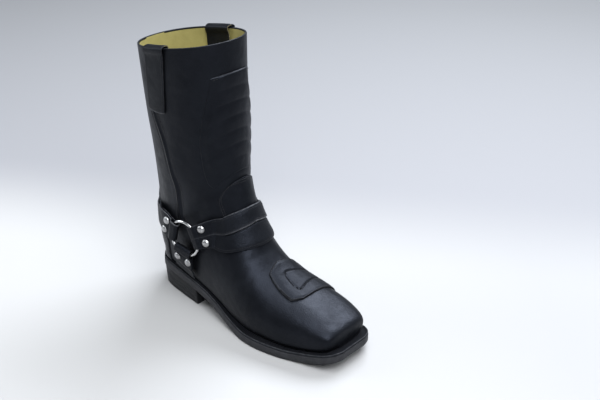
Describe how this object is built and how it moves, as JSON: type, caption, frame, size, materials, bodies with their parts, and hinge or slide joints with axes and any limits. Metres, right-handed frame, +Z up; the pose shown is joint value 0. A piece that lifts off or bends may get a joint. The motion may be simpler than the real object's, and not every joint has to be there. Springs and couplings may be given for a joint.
{
  "type": "motorcycle boot",
  "caption": "Tall black leather harness boot for the right foot: square toe, block heel, strap harness on steel rings, quilted shin pad and pull straps at the collar.",
  "frame": {"origin": "on the floor under the middle of the heel's tread", "axes": "+Z up, -Y towards the toe, +Y towards the heel, -X the lateral (outer) side, +X the medial side"},
  "size_m": [0.1189, 0.3215, 0.348],
  "materials": {
    "leather": "smooth black oiled leather",
    "welt": "black stitched welt",
    "rubber": "black oil-resistant rubber",
    "lining": "tan lining leather",
    "steel": "polished plated steel"
  },
  "bodies": {
    "root": {"upper": "leather", "outsole": "rubber", "welt": "welt", "heel": "rubber", "insole": "lining", "counter": "leather", "shin_pad": "leather", "tongue": "leather", "vamp_pad": "leather", "side_seam_lateral": "leather", "side_seam_medial": "leather", "pull_strap_lateral": "leather", "pull_strap_medial": "leather", "front_strap": "leather", "heel_strap": "leather", "lower_strap_lateral": "leather", "lower_strap_medial": "leather", "ring_lateral": "steel", "ring_medial": "steel", "rivet_front_strap_1": "steel", "rivet_front_strap_2": "steel", "rivet_front_strap_3": "steel", "rivet_front_strap_4": "steel", "rivet_heel_strap_1": "steel", "rivet_heel_strap_2": "steel", "rivet_heel_strap_3": "steel", "rivet_heel_strap_4": "steel", "rivet_lower_strap_lateral_1": "steel", "rivet_lower_strap_lateral_2": "steel", "rivet_lower_strap_medial_1": "steel", "rivet_lower_strap_medial_2": "steel"}
  },
  "joints": []
}
